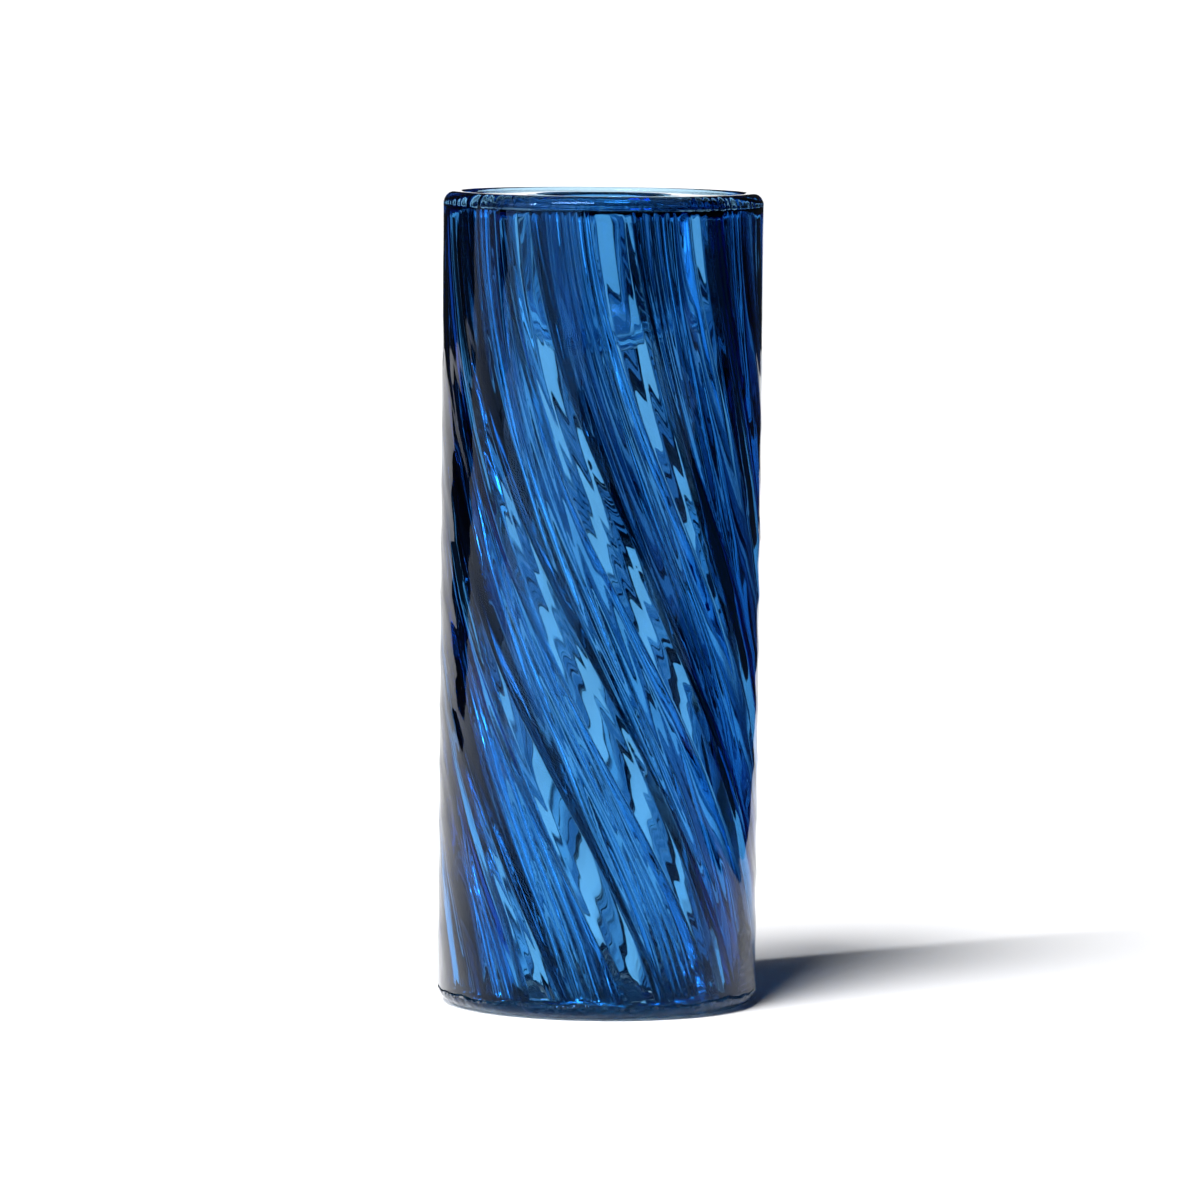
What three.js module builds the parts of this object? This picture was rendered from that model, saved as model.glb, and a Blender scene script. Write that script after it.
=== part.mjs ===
// Glass candlestick: a plain cylinder of blue glass with eight twisted ribs inside its wall,
// a foot disc that closes it below, and a round-bottomed candle cup that drops into the mouth.
// Millimetres, +Z up. The origin is the centre of the face that the candlestick stands on.
import * as THREE from "three";

// ---- driving dimensions ----
const HEIGHT = 152;
const OUTER_RADIUS = 30;
const WALL = 6.5;
const GAP = 0.3; // left between pieces that touch

// foot disc
const FOOT_HEIGHT = 3.2;
const FOOT_CORNER = 3;

// rim and the ledge that carries the cup
const RIM_ROUND = 2.2;
const RIM_INNER_ROUND = 1;
const LEDGE_DEPTH = 3;
const LEDGE_WIDTH = 2.5;

// twisted ribs
const RIB_COUNT = 8;
const RIB_DEPTH = 3.3;
const RIB_HALF_ANGLE = 13; // degrees either side of the rib's middle
const RIB_AZIMUTH = -88; // degrees, the first rib's middle at the foot
const TWIST_RATE = 1.32; // degrees per millimetre where the twist is quickest
const TWIST_RATE_Z = 51; // the height of that place
const RIM_TWIST_SHARE = 0.14; // of that rate, what is left at the rim

// candle cup, for a 22 mm taper candle
const SOCKET_RADIUS = 11.4;
const SOCKET_DEPTH = 27;
const SOCKET_FUNNEL = 1.6;
const SOCKET_CORNER = 9.5;
const CUP_WALL = 2;
const CUP_FLOOR = 2.4;
const CUP_CORNER = 11.5;
const FLANGE_THICKNESS = 2.2;
const FLANGE_FILLET = 2;

// fineness of the round surfaces
const BODY_SEGMENTS = 64;
const CUP_SEGMENTS = 48;
const ARC_STEPS = 4;
const RIB_BACK_STEPS = 4;
const RIB_CREST_STEPS = 6;
const RIB_HEIGHT_STEPS = 30;

// ---- sizes that follow ----
const BORE_RADIUS = OUTER_RADIUS - WALL;
const MOUTH_RADIUS = BORE_RADIUS + LEDGE_WIDTH;
const LEDGE_Z = HEIGHT - LEDGE_DEPTH;
const SLEEVE_BOTTOM_Z = FOOT_HEIGHT + GAP;

const radians = THREE.MathUtils.degToRad;

// ---- shape helpers ----

// Points of a round corner: centre, radius, and the first and last angle in degrees.
function arc(centreR, centreZ, radius, from, to) {
  const points = [];
  for (let step = 0; step <= ARC_STEPS; step++) {
    const angle = radians(from + ((to - from) * step) / ARC_STEPS);
    points.push([centreR + radius * Math.cos(angle), centreZ + radius * Math.sin(angle)]);
  }
  return points;
}

// A solid of revolution about Z. The outline is a list of [radius, height] points that runs
// anticlockwise, and it either starts and ends on the axis or is closed here.
function turned(outline, segments) {
  const onAxis = outline[0][0] === 0;
  const closed = onAxis ? outline : [...outline, outline[0]];
  const points = closed.map(([r, z]) => new THREE.Vector2(r, z));
  const geometry = new THREE.LatheGeometry(points, segments);
  geometry.rotateX(Math.PI / 2);
  return geometry;
}

// Turn of the ribs about Z at a height, in radians. It falls as the height grows, so the
// twist is left-handed. Its rate is quickest at TWIST_RATE_Z and eases towards the rim.
function twistAt(z) {
  const span = HEIGHT - TWIST_RATE_Z;
  const easing = (1 - RIM_TWIST_SHARE) / span ** 2;
  const turned = (u) => u - (easing * u ** 3) / 3;
  return -radians(TWIST_RATE) * (turned(z - TWIST_RATE_Z) - turned(-TWIST_RATE_Z));
}

function glass(color, roughness) {
  const look = { color, roughness, metalness: 0, transparent: true, opacity: 0.6 };
  return new THREE.MeshStandardMaterial(look);
}

function piece(name, geometry, material) {
  const mesh = new THREE.Mesh(geometry, material);
  mesh.name = name;
  return mesh;
}

// ---- the pieces ----

function footDisc() {
  const cornerRadius = OUTER_RADIUS - FOOT_CORNER;
  return turned(
    [
      [0, 0],
      ...arc(cornerRadius, FOOT_CORNER, FOOT_CORNER, -90, 0),
      [OUTER_RADIUS, FOOT_HEIGHT],
      [0, FOOT_HEIGHT],
    ],
    BODY_SEGMENTS,
  );
}

function sleeve() {
  const roundZ = HEIGHT - RIM_ROUND;
  const innerRoundZ = HEIGHT - RIM_INNER_ROUND;
  return turned(
    [
      [BORE_RADIUS, SLEEVE_BOTTOM_Z],
      [OUTER_RADIUS, SLEEVE_BOTTOM_Z],
      ...arc(OUTER_RADIUS - RIM_ROUND, roundZ, RIM_ROUND, 0, 90),
      ...arc(MOUTH_RADIUS + RIM_INNER_ROUND, innerRoundZ, RIM_INNER_ROUND, 90, 180),
      [MOUTH_RADIUS, LEDGE_Z],
      [BORE_RADIUS, LEDGE_Z],
    ],
    BODY_SEGMENTS,
  );
}

// One rib: a section with steep flanks and a broad crest on the bore, drawn up and twisted.
function twistedRib() {
  const seat = BORE_RADIUS - GAP;
  const half = radians(RIB_HALF_ANGLE);
  const section = new THREE.Shape();
  for (let step = 0; step <= RIB_BACK_STEPS; step++) {
    const angle = -half + (2 * half * step) / RIB_BACK_STEPS;
    const point = [seat * Math.cos(angle), seat * Math.sin(angle)];
    if (step === 0) section.moveTo(...point);
    else section.lineTo(...point);
  }
  for (let step = 1; step < RIB_CREST_STEPS; step++) {
    const sweep = (Math.PI * step) / RIB_CREST_STEPS;
    const angle = half * Math.cos(sweep);
    const radius = seat - RIB_DEPTH * Math.sqrt(Math.sin(sweep));
    section.lineTo(radius * Math.cos(angle), radius * Math.sin(angle));
  }
  section.closePath();

  const depth = LEDGE_Z - SLEEVE_BOTTOM_Z;
  const geometry = new THREE.ExtrudeGeometry(section, {
    depth,
    steps: RIB_HEIGHT_STEPS,
    bevelEnabled: false,
  });
  geometry.translate(0, 0, SLEEVE_BOTTOM_Z);

  const places = geometry.attributes.position;
  const axis = new THREE.Vector3(0, 0, 1);
  const place = new THREE.Vector3();
  for (let index = 0; index < places.count; index++) {
    place.fromBufferAttribute(places, index);
    place.applyAxisAngle(axis, twistAt(place.z));
    places.setXYZ(index, place.x, place.y, place.z);
  }
  geometry.computeVertexNormals();
  return geometry;
}

function candleCup() {
  const flangeRadius = MOUTH_RADIUS - GAP;
  const flangeBottom = LEDGE_Z + GAP;
  const flangeTop = flangeBottom + FLANGE_THICKNESS;
  const cupRadius = SOCKET_RADIUS + CUP_WALL;
  const socketFloor = flangeTop - SOCKET_DEPTH;
  const cupBottom = socketFloor - CUP_FLOOR;
  const filletRadius = cupRadius + FLANGE_FILLET;
  return turned(
    [
      [0, cupBottom],
      ...arc(cupRadius - CUP_CORNER, cupBottom + CUP_CORNER, CUP_CORNER, -90, 0),
      ...arc(filletRadius, flangeBottom - FLANGE_FILLET, FLANGE_FILLET, 180, 90),
      [flangeRadius, flangeBottom],
      [flangeRadius, flangeTop],
      [SOCKET_RADIUS + SOCKET_FUNNEL, flangeTop],
      [SOCKET_RADIUS, flangeTop - SOCKET_FUNNEL],
      ...arc(SOCKET_RADIUS - SOCKET_CORNER, socketFloor + SOCKET_CORNER, SOCKET_CORNER, 0, -90),
      [0, socketFloor],
    ],
    CUP_SEGMENTS,
  );
}

// ---- the assembly ----

const clearBlue = glass(0x2f6fc4, 0.05);
const deepBlue = glass(0x1b4c9c, 0.12);
const cupBlue = glass(0x4c86d0, 0.05);

const body = new THREE.Group();
body.add(piece("foot_disc", footDisc(), clearBlue));
body.add(piece("glass_sleeve", sleeve(), clearBlue.clone()));

const ribGeometry = twistedRib();
for (let index = 0; index < RIB_COUNT; index++) {
  const rib = piece(`twisted_rib_${index + 1}`, ribGeometry, deepBlue.clone());
  rib.rotation.z = radians(RIB_AZIMUTH + (index * 360) / RIB_COUNT);
  body.add(rib);
}

const candlestick = new THREE.Group();
candlestick.add(body);
candlestick.add(piece("candle_cup", candleCup(), cupBlue));

export default candlestick;
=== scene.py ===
"""Glass candlestick: a cylinder of blue glass with eight twisted ribs, and its lift-out candle cup.

Metres, +Z up, the same frame as the CAD model. The camera looks along +Y.
"""
import math

import bpy
import numpy as np
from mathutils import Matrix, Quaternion, Vector

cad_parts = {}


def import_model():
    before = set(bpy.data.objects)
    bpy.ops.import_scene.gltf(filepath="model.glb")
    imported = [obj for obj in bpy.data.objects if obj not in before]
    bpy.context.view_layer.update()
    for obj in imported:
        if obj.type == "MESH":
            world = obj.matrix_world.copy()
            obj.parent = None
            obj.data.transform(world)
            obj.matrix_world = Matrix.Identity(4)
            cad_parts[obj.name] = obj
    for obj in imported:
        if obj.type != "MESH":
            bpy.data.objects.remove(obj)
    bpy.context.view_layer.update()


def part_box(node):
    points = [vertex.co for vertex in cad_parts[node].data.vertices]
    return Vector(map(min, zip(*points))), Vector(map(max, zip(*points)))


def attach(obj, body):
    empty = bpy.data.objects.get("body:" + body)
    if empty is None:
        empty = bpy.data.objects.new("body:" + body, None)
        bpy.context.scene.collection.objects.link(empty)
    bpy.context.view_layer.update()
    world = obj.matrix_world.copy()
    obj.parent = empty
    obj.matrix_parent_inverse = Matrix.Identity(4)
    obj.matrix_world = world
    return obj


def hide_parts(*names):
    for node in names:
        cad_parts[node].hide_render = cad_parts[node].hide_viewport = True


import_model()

MM = 0.001
FULL_TURN = 2 * math.pi

# ---- sizes, from the CAD pieces ----
SLEEVE_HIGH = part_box("glass_sleeve")[1]
HEIGHT = SLEEVE_HIGH.z
OUTER = SLEEVE_HIGH.x
FOOT_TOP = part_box("foot_disc")[1].z
LEDGE_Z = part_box("twisted_rib_1")[1].z
FLANGE_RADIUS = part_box("candle_cup")[1].x
SEAT_GAP = 0.3 * MM
MOUTH_RADIUS = FLANGE_RADIUS + SEAT_GAP
WALL = 6.5 * MM
BORE = OUTER - WALL
FOOT_CORNER = 3 * MM
RIM_ROUND = 2.2 * MM
RIM_INNER_ROUND = 1 * MM

# ---- ribs and twist ----
RIB_COUNT = 8
RIB_PITCH = FULL_TURN / RIB_COUNT
RIB_DEPTH = 3.0 * MM
RIB_HALF = math.radians(13)
LOWER_FLANK = 0.45  # of the rib's half width
UPPER_FLANK = 0.25
LOWER_SHADE_LINE = (0.90, 0.13)  # place and half width of the painted shade line on a rib's lower edge
# place and half width of the fine painted shade line on a rib's upper edge
UPPER_SHADE_LINE = (0.97, 0.06)
RIB_AZIMUTH = math.radians(-88)
RIB_TOP_EASE = 2.0 * MM
WINDOW_SCALLOP = 0.6 * MM
TWIST_RATE = math.radians(1.32) / MM
TWIST_RATE_Z = 51 * MM
RIM_TWIST_SHARE = 0.14

# ---- strands drawn along the inside wall ----
WIDE_STRANDS = 46
WIDE_FOLLOW = 0.80  # share of the ribs' twist that they take
WIDE_SHIFT = 1.0
FINE_STRANDS = 72
FINE_FOLLOW = 0.93
FINE_SHIFT = 2.3
FINE_SHARE = 0.45
STRAND_DEPTH = 1.1 * MM
WINDOW_STRAND_SHARE = 0.15
# Waves of their uneven spacing: count round the wall, size, share of the shift, turn per metre up.
UNEVEN_SPACING = ((5, 0.050, 1, 0), (11, 0.026, 3, 1 / (34 * MM)), (23, 0.010, 2, -1 / (26 * MM)))
SWELL_COUNT = 7  # slow swelling of the strands' depth
SWELL_SHARE = 0.25
SWELL_HEIGHT = 23 * MM

# ---- faint drawn wave of the outside ----
OUTSIDE_WAVE = 0.02 * MM
OUTSIDE_BROAD_COUNT = 24
OUTSIDE_FINE_COUNT = 40
OUTSIDE_FINE_SHARE = 0.6
OUTSIDE_FINE_HEIGHT = 30 * MM

# ---- foot and mouth ----
FOOT_EDGE = 0.2 * MM
FOOT_DISH = 0.3 * MM  # depth of the foot's middle below its edge
FOOT_RIPPLE = 0.3 * MM
FOOT_WAVE = 0.15 * MM
FOOT_WAVE_RISE = 2 * MM  # above the ground the wave grows over this height
SLEEVE_EDGE = 0.2 * MM
SEAM_GAP = 0.12 * MM  # the fused joint of foot and sleeve
SEAM_WAVE = 0.5 * MM
SEAM_WAVES = ((5, 1.0, 1), (13, 0.8, 0), (29, 0.6, 2))  # count round the foot, share and shift
MOUTH_WAVE = 0.3 * MM

# ---- candle cup ----
SOCKET_RADIUS = 11.4 * MM
SOCKET_DEPTH = 27 * MM
SOCKET_FUNNEL = 1.6 * MM
SOCKET_CORNER = 9.5 * MM
CUP_WALL = 2.0 * MM
CUP_FLOOR = 2.4 * MM
CUP_CORNER = 11.5 * MM
FLANGE_THICKNESS = 2.2 * MM
FLANGE_FILLET = 2 * MM
FLANGE_EDGE = 0.6 * MM

# ---- fineness ----
AROUND = 704
CUP_AROUND = 160
CAVITY_RINGS = 72
OUTSIDE_RINGS = 14
MOUTH_RINGS = 5
LEDGE_RINGS = 3
UNDERSIDE_RINGS = 6
FOOT_TOP_RINGS = 24
CUP_END_RINGS = 4
ARC_STEPS = 8
EDGE_STEPS = 4


# ---- shapes of the wall ----

def twist(z):
    """Turn of the ribs at a height, in radians: left-handed, quickest at TWIST_RATE_Z."""
    easing = (1 - RIM_TWIST_SHARE) / (HEIGHT - TWIST_RATE_Z) ** 2

    def eased(height):
        return height - easing * height**3 / 3

    return -TWIST_RATE * (eased(z - TWIST_RATE_Z) - eased(-TWIST_RATE_Z))


def columns(around=AROUND):
    """Angles of a ring's points before they are turned with the ribs."""
    return np.arange(around) / around * FULL_TURN


def angles_at(z):
    """Angles of the mesh's columns at a height: the columns follow the ribs."""
    return columns() + twist(z)


def across_rib(angle, z):
    """Angle from the middle of the nearest rib, in radians."""
    turned = angle - RIB_AZIMUTH - twist(z)
    return (turned + RIB_PITCH / 2) % RIB_PITCH - RIB_PITCH / 2


def rib_dome(angle, z):
    """Height of the rib over the bore: 0 in a window, round flanks, and 1 along its flat crest."""
    reach = across_rib(angle, z) / RIB_HALF
    lower = np.clip((1 + reach) / LOWER_FLANK, 0, 1)
    upper = np.clip((1 - reach) / UPPER_FLANK, 0, 1)
    return np.sqrt((1 - (1 - lower) ** 2) * (1 - (1 - upper) ** 2))


def rib_edge_shade(angle, z):
    """1 along a rib's two edges, where painted shade darkens the glass: a broad line on its lower side
    and a fine one on its upper side.
    """
    reach = across_rib(angle, z) / RIB_HALF
    lower = np.exp(-(((reach + LOWER_SHADE_LINE[0]) / LOWER_SHADE_LINE[1]) ** 2))
    upper = np.exp(-(((reach - UPPER_SHADE_LINE[0]) / UPPER_SHADE_LINE[1]) ** 2))
    return np.maximum(lower, upper)


def drawn_lines(count, follow, shift, angle, z):
    """Strands of uneven widths drawn up the wall: 0 in the grooves between them, 1 on top."""
    drawn = angle - follow * twist(z)
    uneven = 0
    for waves, size, share, rise in UNEVEN_SPACING:
        uneven = uneven + size * np.sin(waves * drawn + share * shift + rise * z)
    return np.abs(np.sin(count / 2 * (drawn + uneven)))


def strands(angle, z):
    """Wide and fine strands together: they cross at a slant, so the grooves meet and part."""
    wide = drawn_lines(WIDE_STRANDS, WIDE_FOLLOW, WIDE_SHIFT, angle, z)
    fine = drawn_lines(FINE_STRANDS, FINE_FOLLOW, FINE_SHIFT, angle, z)
    swell = 1 - SWELL_SHARE + SWELL_SHARE * np.sin(SWELL_COUNT * (angle - twist(z)) + z / SWELL_HEIGHT)
    return swell * ((1 - FINE_SHARE) * wide + FINE_SHARE * fine)


def cavity(z):
    """Radius of the inside wall all round, at a height."""
    angle = angles_at(z)
    dome = rib_dome(angle, z) * min(1, max(0, LEDGE_Z + RIB_TOP_EASE - z) / RIB_TOP_EASE)
    from_window = RIB_PITCH / 2 - np.abs(across_rib(angle, z))
    scallop = np.clip(from_window / (RIB_PITCH / 2 - RIB_HALF), 0, 1) ** 2
    grain = strands(angle, z) * (WINDOW_STRAND_SHARE + (1 - WINDOW_STRAND_SHARE) * dome)
    return BORE - RIB_DEPTH * dome - WINDOW_SCALLOP * scallop - STRAND_DEPTH * grain


def outside(z):
    """Radius of the outside wall, smooth but for a faint drawn wave."""
    drawn = angles_at(z) - FINE_FOLLOW * twist(z)
    broad = np.sin(OUTSIDE_BROAD_COUNT * drawn + 0.5)
    fine = OUTSIDE_FINE_SHARE * np.sin(OUTSIDE_FINE_COUNT * drawn + z / OUTSIDE_FINE_HEIGHT)
    return OUTER - OUTSIDE_WAVE * (1 + OUTSIDE_FINE_SHARE + broad + fine)


def seam():
    """Height of the foot's wavy upper edge all round, where it is fused to the sleeve."""
    angle = columns()
    wave = sum(share * np.sin(count * angle + shift) for count, share, shift in SEAM_WAVES)
    highest = sum(share for count, share, shift in SEAM_WAVES)
    return FOOT_TOP - SEAM_WAVE * (1 + wave / highest)


def foot_ripple(radius):
    """Unevenness of the foot's top all round, from 0 to 4, at a distance from the axis."""
    angle = angles_at(FOOT_TOP)
    rays = np.sin(11 * angle + radius / MM) * np.sin(radius / (1.4 * MM))
    swirl = np.sin(5 * angle - radius / (2 * MM))
    return 2 + rays + swirl


# ---- mesh building ----

def arc(centre_r, centre_z, radius, start, end, steps=ARC_STEPS):
    """Points (r, z) of a round corner, with its angles in degrees."""
    sweep = [math.radians(start + (end - start) * k / steps) for k in range(steps + 1)]
    return [(centre_r + radius * math.cos(a), centre_z + radius * math.sin(a)) for a in sweep]


def skin(name, rings, ends=None, around=AROUND):
    """A closed mesh round the Z axis from rings of (radii, height). It is closed either by two points
    on the axis, at the heights in ends, or by joining its last ring to its first."""
    count = len(rings)
    points = []
    for radii, z in rings:
        angle = columns(around) + twist(np.mean(z))
        radii, z = np.broadcast_to(radii, around), np.broadcast_to(z, around)
        points.append(np.stack([radii * np.cos(angle), radii * np.sin(angle), z], -1))
    verts = list(map(tuple, np.concatenate(points)))

    def index(ring, k):
        return ring % count * around + k % around

    faces = []
    for ring in range(count - 1 if ends else count):
        for k in range(around):
            lower = (index(ring, k), index(ring, k + 1))
            upper = (index(ring + 1, k + 1), index(ring + 1, k))
            faces.append(lower + upper)
    if ends:
        low, high = len(verts), len(verts) + 1
        verts += [(0, 0, ends[0]), (0, 0, ends[1])]
        faces += [(low, index(0, k + 1), index(0, k)) for k in range(around)]
        faces += [(index(count - 1, k), index(count - 1, k + 1), high) for k in range(around)]
    mesh = bpy.data.meshes.new(name)
    mesh.from_pydata(verts, [], faces)
    mesh.polygons.foreach_set("use_smooth", [True] * len(mesh.polygons))
    mesh.update()
    piece = bpy.data.objects.new(name, mesh)
    bpy.context.scene.collection.objects.link(piece)
    return piece


def places_of(mesh):
    """The mesh's points as rows of x, y and z."""
    places = np.zeros(len(mesh.vertices) * 3)
    mesh.vertices.foreach_get("co", places)
    return places.reshape(-1, 3)


def untwisted_attribute(piece):
    """Stores each point's place with the ribs' twist taken out, for streaks that follow the ribs."""
    x, y, z = places_of(piece.data).T
    turn = -FINE_FOLLOW * twist(z)
    cos, sin = np.cos(turn), np.sin(turn)
    places = np.stack([x * cos - y * sin, x * sin + y * cos, z], -1)
    attribute = piece.data.attributes.new("untwisted", "FLOAT_VECTOR", "POINT")
    attribute.data.foreach_set("vector", places.astype(np.float32).ravel())


def rib_attributes(piece):
    """Stores where the ribs are: on_rib is 1 on them, the edge mask is 1 along their edges, where the
    painted shade lines go, and both are 0 in the windows between them and on the outside."""
    x, y, z = places_of(piece.data).T
    inside = np.hypot(x, y) < BORE + WALL / 4
    # the second mask marks the painted shade lines along the ribs' edges
    for name, shape in (("on_rib", rib_dome), ("rib_edge_shade", rib_edge_shade)):
        values = np.where(inside, shape(np.arctan2(y, x), z), 0)
        attribute = piece.data.attributes.new(name, "FLOAT", "POINT")
        attribute.data.foreach_set("value", values.astype(np.float32))


# ---- materials ----

GLASS_COLOUR = (0.03, 0.55, 0.81)
GLASS_DENSITY = 202
# painted light: the foot's glass is a paler copy of the body's glass, which stands in for the light
# that reaches the foot from the floor
FOOT_PAINTED_LIGHT_DENSITY = 60
CUP_DENSITY = 120
GLASS_IOR = 1.52
SHEEN_TINT = (0.06, 0.18, 0.40)
STRETCH = (1, 1, 0.04)  # of the streaks' pattern: long in height
STREAK_SCALE = 500
STREAK_DETAIL = 1.5
STREAK_HEIGHT = 0.1 * MM
RIB_STREAK = 0.25
PLAIN_STREAK = 0.04
THREAD_SCALE = 170
THREAD_DETAIL = 2
THREAD_DARK = (0.06, 0.13, 0.24)
THREAD_RANGE = (0.45, 0.60)
# painted shade: colour of the dark lines along the ribs' edges
EDGE_SHADE_COLOUR = (0.02, 0.03, 0.06)
SMEAR_SCALE = 60
SMEAR_ROUGHNESS = 0.04
GROUND_ROUGHNESS = 0.3
GROUND_ZONE = (0.15 * MM, 0.05 * MM)  # heights where the ground face's roughness starts and is full
WHITE = (1, 1, 1)


def attribute_node(nodes, name):
    node = nodes.new("ShaderNodeAttribute")
    node.attribute_name = name
    return node


def noise_node(nodes, links, place, scale, detail):
    node = nodes.new("ShaderNodeTexNoise")
    node.inputs["Scale"].default_value = scale
    node.inputs["Detail"].default_value = detail
    links.new(place, node.inputs["Vector"])
    return node


def streak_normals(nodes, links, glass, stretched, on_rib):
    """Fine streaks in relief, strong on the ribs and faint elsewhere."""
    streaks = noise_node(nodes, links, stretched, STREAK_SCALE, STREAK_DETAIL)
    strength = nodes.new("ShaderNodeMapRange")
    strength.inputs["To Min"].default_value = PLAIN_STREAK
    strength.inputs["To Max"].default_value = RIB_STREAK
    links.new(on_rib, strength.inputs["Value"])
    bump = nodes.new("ShaderNodeBump")
    bump.inputs["Distance"].default_value = STREAK_HEIGHT
    links.new(strength.outputs["Result"], bump.inputs["Strength"])
    links.new(streaks.outputs["Fac"], bump.inputs["Height"])
    links.new(bump.outputs["Normal"], glass.inputs["Normal"])


def mixed_colour(nodes, links, share, base, over):
    """A colour mix. Each colour is either a socket or a plain colour."""
    mix = nodes.new("ShaderNodeMix")
    mix.data_type = "RGBA"
    links.new(share, mix.inputs["Factor"])
    for name, colour in (("A", base), ("B", over)):
        if isinstance(colour, tuple):
            mix.inputs[name].default_value = (*colour, 1)
        else:
            links.new(colour, mix.inputs[name])
    return mix.outputs["Result"]


def threads_and_edge_shade(nodes, links, glass, stretched, on_rib):
    """Dark threads drawn along the ribs, and a painted shade line along each rib's edges."""
    threads = noise_node(nodes, links, stretched, THREAD_SCALE, THREAD_DETAIL)
    tint = nodes.new("ShaderNodeValToRGB")
    for element, colour, place in zip(tint.color_ramp.elements, (THREAD_DARK, WHITE), THREAD_RANGE):
        element.color = (*colour, 1)
        element.position = place
    links.new(threads.outputs["Fac"], tint.inputs["Fac"])
    threaded = mixed_colour(nodes, links, on_rib, WHITE, tint.outputs["Color"])
    # painted shade: a dark line mixed into the colour along each rib's edges
    edges = attribute_node(nodes, "rib_edge_shade").outputs["Fac"]
    edge_shaded = mixed_colour(nodes, links, edges, threaded, EDGE_SHADE_COLOUR)
    links.new(edge_shaded, glass.inputs["Base Color"])


def smeared_gloss(nodes, links, glass, stretched):
    """Polished with faint smears, and ground dull on the face that it stands on."""
    smears = nodes.new("ShaderNodeTexNoise")
    smears.inputs["Scale"].default_value = SMEAR_SCALE
    links.new(stretched, smears.inputs["Vector"])
    gloss = nodes.new("ShaderNodeMapRange")
    gloss.inputs["To Max"].default_value = SMEAR_ROUGHNESS
    links.new(smears.outputs["Fac"], gloss.inputs["Value"])
    where = nodes.new("ShaderNodeTexCoord")
    height = nodes.new("ShaderNodeSeparateXYZ")
    links.new(where.outputs["Object"], height.inputs["Vector"])
    ground = nodes.new("ShaderNodeMapRange")
    ground.inputs["From Min"].default_value = GROUND_ZONE[0]
    ground.inputs["From Max"].default_value = GROUND_ZONE[1]
    ground.inputs["To Max"].default_value = GROUND_ROUGHNESS
    links.new(height.outputs["Z"], ground.inputs["Value"])
    rougher = nodes.new("ShaderNodeMath")
    rougher.operation = "MAXIMUM"
    links.new(gloss.outputs["Result"], rougher.inputs[0])
    links.new(ground.outputs["Result"], rougher.inputs[1])
    links.new(rougher.outputs["Value"], glass.inputs["Roughness"])


def blue_glass(name, colour, density):
    """Clear glass coloured right through, with fine streaks, dark threads drawn along the twist and
    painted shade lines along the ribs' edges.
    """
    material = bpy.data.materials.new(name)
    material.use_nodes = True
    nodes, links = material.node_tree.nodes, material.node_tree.links
    glass = nodes["Principled BSDF"]
    glass.inputs["IOR"].default_value = GLASS_IOR
    glass.inputs["Transmission Weight"].default_value = 1.0
    glass.inputs["Specular Tint"].default_value = (*SHEEN_TINT, 1)
    stretch = nodes.new("ShaderNodeVectorMath")
    stretch.operation = "MULTIPLY"
    stretch.inputs[1].default_value = STRETCH
    links.new(attribute_node(nodes, "untwisted").outputs["Vector"], stretch.inputs[0])
    stretched = stretch.outputs["Vector"]
    on_rib = attribute_node(nodes, "on_rib").outputs["Fac"]
    streak_normals(nodes, links, glass, stretched, on_rib)
    threads_and_edge_shade(nodes, links, glass, stretched, on_rib)
    smeared_gloss(nodes, links, glass, stretched)
    volume = nodes.new("ShaderNodeVolumeAbsorption")
    volume.inputs["Color"].default_value = (*colour, 1)
    volume.inputs["Density"].default_value = density
    links.new(volume.outputs["Volume"], nodes["Material Output"].inputs["Volume"])
    return material


# ---- the pieces ----

def foot_glass():
    """The foot: a thick disc with a round lower edge, a wavy upper edge and a rippled, dished top."""
    flat_radius = OUTER - FOOT_CORNER
    rings = [(flat_radius * k / UNDERSIDE_RINGS, 0) for k in range(1, UNDERSIDE_RINGS)]
    side = arc(flat_radius, FOOT_CORNER, FOOT_CORNER, -90, 0)
    side += arc(OUTER - FOOT_EDGE, FOOT_TOP - FOOT_EDGE, FOOT_EDGE, 0, 90, EDGE_STEPS)
    for radius, z in side:
        wave = FOOT_WAVE * min(1, z / FOOT_WAVE_RISE) * (1 - strands(angles_at(z), z))
        rings.append((radius - wave, z * seam() / FOOT_TOP))
    for k in range(1, FOOT_TOP_RINGS):
        share = 1 - k / FOOT_TOP_RINGS
        radius = (OUTER - FOOT_EDGE) * share
        inward = min(1, 6 * (1 - share))
        dish = FOOT_DISH * (1 - share**4)
        rings.append((radius, seam() - dish - FOOT_RIPPLE * foot_ripple(radius) * inward * share))
    return skin("foot_glass", rings, (0, FOOT_TOP - FOOT_DISH))


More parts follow.
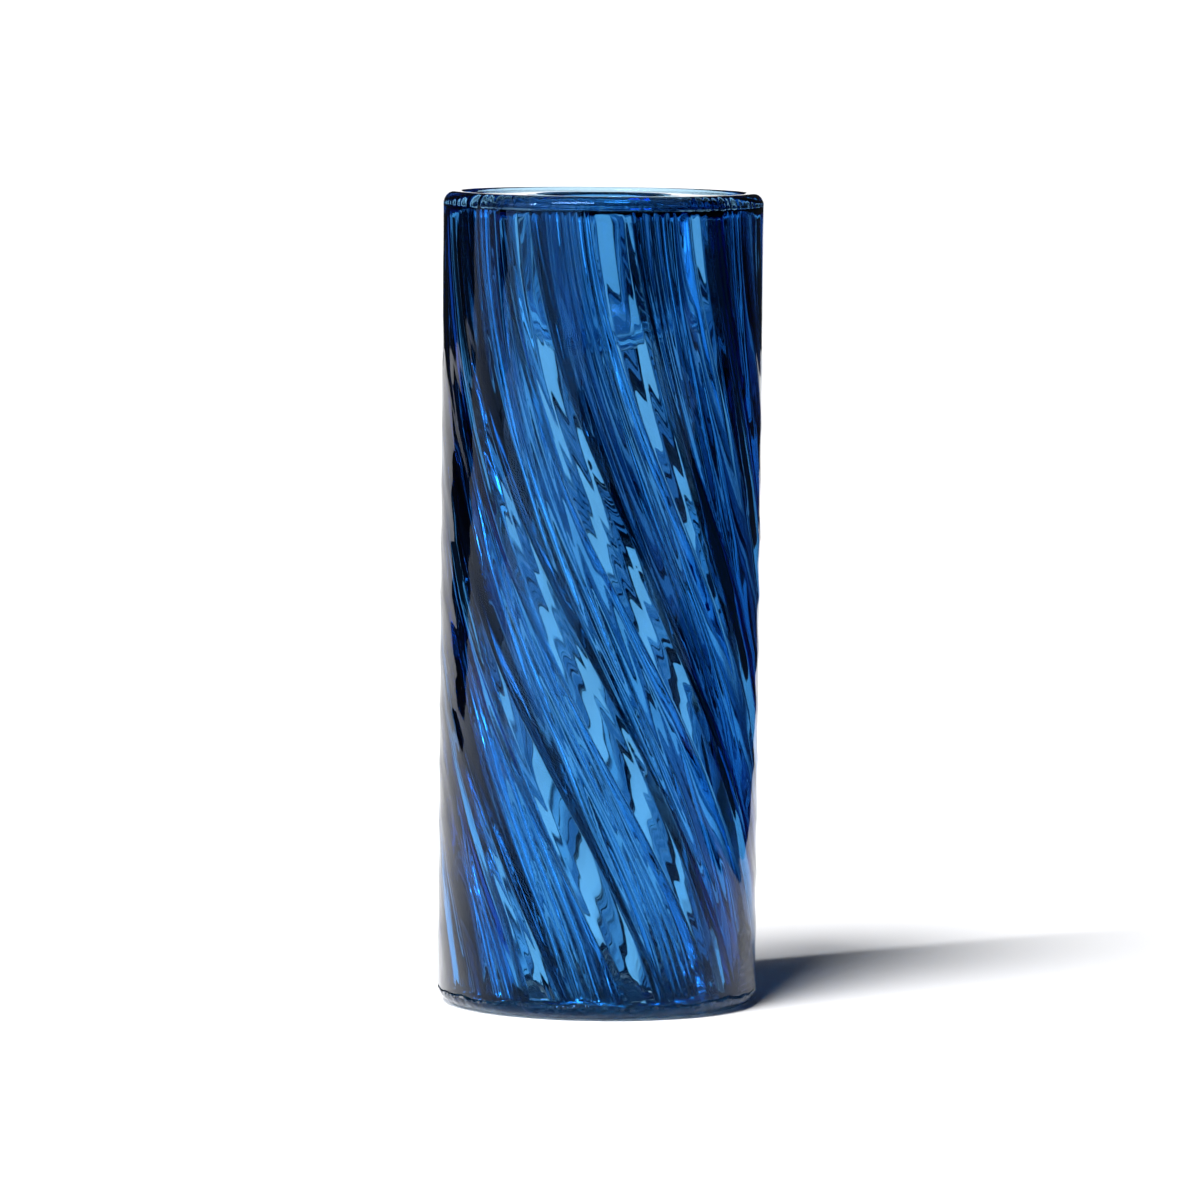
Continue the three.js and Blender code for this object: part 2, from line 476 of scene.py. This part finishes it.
def glass_body():
    """Sleeve and ribs as one fused piece of glass, open below and above."""
    low = FOOT_TOP + SEAT_GAP + SLEEVE_EDGE
    drop = SEAT_GAP - SEAM_GAP + FOOT_TOP - seam()
    edge = arc(OUTER - SLEEVE_EDGE, low, SLEEVE_EDGE, -90, 0, EDGE_STEPS)
    rings = [(radius, z - drop) for radius, z in edge]
    for z in np.linspace(low, HEIGHT - RIM_ROUND, OUTSIDE_RINGS + 1)[1:-1]:
        rings.append((outside(z), z))
    rings += arc(OUTER - RIM_ROUND, HEIGHT - RIM_ROUND, RIM_ROUND, 0, 90)
    mouth_top = HEIGHT - RIM_INNER_ROUND
    rings += arc(MOUTH_RADIUS + RIM_INNER_ROUND, mouth_top, RIM_INNER_ROUND, 90, 180)
    for z in np.linspace(mouth_top, LEDGE_Z, MOUTH_RINGS)[1:]:
        rings.append((MOUTH_RADIUS + MOUTH_WAVE * strands(angles_at(z), z), z))
    ledge_out, ledge_in = rings[-1][0], cavity(LEDGE_Z)
    for k in range(1, LEDGE_RINGS + 1):
        rings.append((ledge_out + (ledge_in - ledge_out) * k / LEDGE_RINGS, LEDGE_Z))
    rings += [(cavity(z), z) for z in np.linspace(LEDGE_Z, low, CAVITY_RINGS)[1:]]
    for k in range(1, EDGE_STEPS + 1):
        sweep = math.pi / 2 * k / EDGE_STEPS
        fall = SLEEVE_EDGE * math.sin(sweep) + drop * k / EDGE_STEPS
        rings.append((cavity(low) + SLEEVE_EDGE * (1 - math.cos(sweep)), low - fall))
    return skin("glass_body", rings)


def candle_cup():
    """Flange, socket and floor of the lift-out cup."""
    flange_bottom = LEDGE_Z + SEAT_GAP
    flange_top = flange_bottom + FLANGE_THICKNESS
    cup_radius = SOCKET_RADIUS + CUP_WALL
    socket_floor = flange_top - SOCKET_DEPTH
    cup_bottom = socket_floor - CUP_FLOOR
    tip = cup_radius - CUP_CORNER
    rings = [(tip * k / CUP_END_RINGS, cup_bottom) for k in range(1, CUP_END_RINGS)]
    rings += arc(tip, cup_bottom + CUP_CORNER, CUP_CORNER, -90, 0)
    rings += arc(cup_radius + FLANGE_FILLET, flange_bottom - FLANGE_FILLET, FLANGE_FILLET, 180, 90)
    edge_radius = FLANGE_RADIUS - FLANGE_EDGE
    rings += arc(edge_radius, flange_bottom + FLANGE_EDGE, FLANGE_EDGE, -90, 0, EDGE_STEPS)
    rings += arc(edge_radius, flange_top - FLANGE_EDGE, FLANGE_EDGE, 0, 90, EDGE_STEPS)
    funnel_radius = SOCKET_RADIUS + SOCKET_FUNNEL
    rings += arc(funnel_radius, flange_top - SOCKET_FUNNEL, SOCKET_FUNNEL, 90, 180)
    rings += arc(SOCKET_RADIUS - SOCKET_CORNER, socket_floor + SOCKET_CORNER, SOCKET_CORNER, 0, -90)
    last = rings[-1][0]
    rings += [(last * (1 - k / CUP_END_RINGS), socket_floor) for k in range(1, CUP_END_RINGS)]
    return skin("candle_cup_glass", rings, (cup_bottom, socket_floor), CUP_AROUND)


body_glass = blue_glass("blue_glass", GLASS_COLOUR, GLASS_DENSITY)
# painted light: a paler copy of the body's glass, used for the foot
foot_painted_light_glass = blue_glass("foot_glass", GLASS_COLOUR, FOOT_PAINTED_LIGHT_DENSITY)
cup_glass = blue_glass("cup_glass", GLASS_COLOUR, CUP_DENSITY)

foot = foot_glass()
foot.data.materials.append(foot_painted_light_glass)
untwisted_attribute(foot)
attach(foot, "glass_body")
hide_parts("foot_disc")

body = glass_body()
body.data.materials.append(body_glass)
untwisted_attribute(body)
rib_attributes(body)
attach(body, "glass_body")
ribs = [f"twisted_rib_{k + 1}" for k in range(RIB_COUNT)]
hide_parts("glass_sleeve", *ribs)

cup = candle_cup()
cup.data.materials.append(cup_glass)
untwisted_attribute(cup)
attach(cup, "candle_cup")
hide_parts("candle_cup")

# ---- the set ----

CAMERA_PLACE = Vector((0, -1.47, 0.201))
AIM = Vector((0, 0, 0.0755))
FRAME_WIDTH = 0.225  # of the view, at the object
LEAN = math.radians(0.55)
SENSOR = 36

FLOOR_RADIUS = 2.2
FLOOR_SIDES = 96
FLOOR_Z = -0.2 * MM
FLOOR_COLOUR = (0.86, 0.86, 0.87)
SWEEP_REACH = (1.0, 2.4)  # from the object, where a sweep starts and ends
SWEEP_HALVES = (0.35, 0.5)  # half its width there
SWEEP_RISE = 0.34
SWEEP_STEPS = 24
SWEEP_Z = FLOOR_Z - 0.1 * MM
PAPER_ROUGHNESS = 0.9

# painted shade: near-black sheets lying on the floor, which stand in for the unlit surroundings that
# the glass shows
PAINTED_SHADE_COLOUR = (0.01, 0.01, 0.012)
PAINTED_SHADE_CARDS = {
    "right": ((0.20, 0.13), (0.36, 1.8), (2.2, 1.8), (2.2, -0.6), (0.87, -0.55), (0.27, -0.02)),
    "front": ((0.13, -0.38), (0.56, -0.86), (0.9, -1.4), (0.15, -1.4)),
    "left": ((-0.46, 0.30), (-0.75, 0.72), (-1.5, 1.5), (-1.9, 0.5), (-0.5, 0.2)),
}

WORLD_COLOUR = (0.5, 0.6, 0.8)
WORLD_STRENGTH = 0.03
SUN_STRENGTH = 4.6
SUN_ANGLE = 25.0
SUN_TILT = (30.0, -20.0)
KEY = (-0.78, -0.547, 0.64)
KEY_SIZE = (0.06, 0.14)
KEY_POWER = 9.0
WINDOW = (-0.305, -0.34, 0.23)
WINDOW_SIZE = (0.5, 0.45)
WINDOW_POWER = 1.8
GLASS_BOUNCES = 24
GLOSSY_BOUNCES = 12


def camera():
    """A long lens at the photo's angle, leaning very slightly."""
    lens = bpy.data.cameras.new("camera")
    view = CAMERA_PLACE - AIM
    lens.sensor_width = SENSOR
    lens.lens = SENSOR * view.length / FRAME_WIDTH
    holder = bpy.data.objects.new("camera", lens)
    holder.location = CAMERA_PLACE
    holder.rotation_mode = "QUATERNION"
    holder.rotation_quaternion = view.to_track_quat("Z", "Y") @ Quaternion((0, 0, 1), LEAN)
    bpy.context.scene.collection.objects.link(holder)
    bpy.context.scene.camera = holder


def plain_surface(name, colour):
    material = bpy.data.materials.new(name)
    material.use_nodes = True
    surface = material.node_tree.nodes["Principled BSDF"]
    surface.inputs["Base Color"].default_value = (*colour, 1)
    surface.inputs["Roughness"].default_value = PAPER_ROUGHNESS
    surface.inputs["Specular IOR Level"].default_value = 0.0
    return material


def staged(name, verts, faces, material):
    mesh = bpy.data.meshes.new(name)
    mesh.from_pydata(verts, [], faces)
    mesh.polygons.foreach_set("use_smooth", [True] * len(faces))
    mesh.materials.append(material)
    obj = bpy.data.objects.new(name, mesh)
    bpy.context.scene.collection.objects.link(obj)


def between(ends, share):
    return ends[0] + (ends[1] - ends[0]) * share


def floor():
    """A round pale floor, with a paper sweep that rises gently behind the object and to its left."""
    paper = plain_surface("floor", FLOOR_COLOUR)
    verts = [(0, 0, FLOOR_Z)]
    for angle in columns(FLOOR_SIDES):
        verts.append((FLOOR_RADIUS * math.cos(angle), FLOOR_RADIUS * math.sin(angle), FLOOR_Z))
    faces = [(0, 1 + k, 1 + (k + 1) % FLOOR_SIDES) for k in range(FLOOR_SIDES)]
    staged("floor", verts, faces, paper)
    for name, along in (("sweep_back", Vector((0, 1, 0))), ("sweep_left", Vector((-1, 0, 0)))):
        across = Vector((along.y, -along.x, 0))
        verts = []
        for share in np.linspace(0, 1, SWEEP_STEPS + 1):
            half = between(SWEEP_HALVES, share)
            lift = Vector((0, 0, SWEEP_Z + SWEEP_RISE * share**3))
            place = along * between(SWEEP_REACH, share) + lift
            verts += [place - across * half, place + across * half]
        faces = [(2 * k + 2, 2 * k, 2 * k + 1, 2 * k + 3) for k in range(SWEEP_STEPS)]
        staged(name, verts, faces, paper)


def painted_shade_cards():
    """Near-black cards lying on the floor beside the view, painted shade for unlit surroundings: the
    glass shows them, mostly on its right.
    """
    dark = plain_surface("painted_shade_card", PAINTED_SHADE_COLOUR)
    for name, outline in PAINTED_SHADE_CARDS.items():
        corners = [(x, y, 0) for x, y in outline]
        staged("painted_shade_card_" + name, corners, [tuple(range(len(corners)))], dark)


def world():
    surroundings = bpy.data.worlds.new("surroundings")
    bpy.context.scene.world = surroundings
    surroundings.use_nodes = True
    background = surroundings.node_tree.nodes["Background"]
    background.inputs["Color"].default_value = (*WORLD_COLOUR, 1)
    background.inputs["Strength"].default_value = WORLD_STRENGTH


def softbox(name, place, size, power, aim):
    light = bpy.data.lights.new(name, "AREA")
    light.shape = "RECTANGLE"
    light.size, light.size_y = size
    light.energy = power
    holder = bpy.data.objects.new(name, light)
    holder.location = place
    holder.rotation_mode = "QUATERNION"
    holder.rotation_quaternion = (Vector(place) - Vector(aim)).to_track_quat("Z", "Y")
    bpy.context.scene.collection.objects.link(holder)


def sun():
    """Soft light from the front left: the shadow falls to the back right."""
    light = bpy.data.lights.new("sun", "SUN")
    light.energy = SUN_STRENGTH
    light.angle = math.radians(SUN_ANGLE)
    holder = bpy.data.objects.new("sun", light)
    holder.rotation_euler = (math.radians(SUN_TILT[0]), math.radians(SUN_TILT[1]), 0)
    bpy.context.scene.collection.objects.link(holder)


camera()
floor()
painted_shade_cards()
world()
sun()
softbox("key", KEY, KEY_SIZE, KEY_POWER, AIM)
softbox("window", WINDOW, WINDOW_SIZE, WINDOW_POWER, (0, 0, WINDOW[2]))

cycles = bpy.context.scene.cycles
cycles.max_bounces = GLASS_BOUNCES
cycles.transmission_bounces = GLASS_BOUNCES
cycles.glossy_bounces = GLOSSY_BOUNCES
bpy.context.scene.view_settings.view_transform = "Standard"
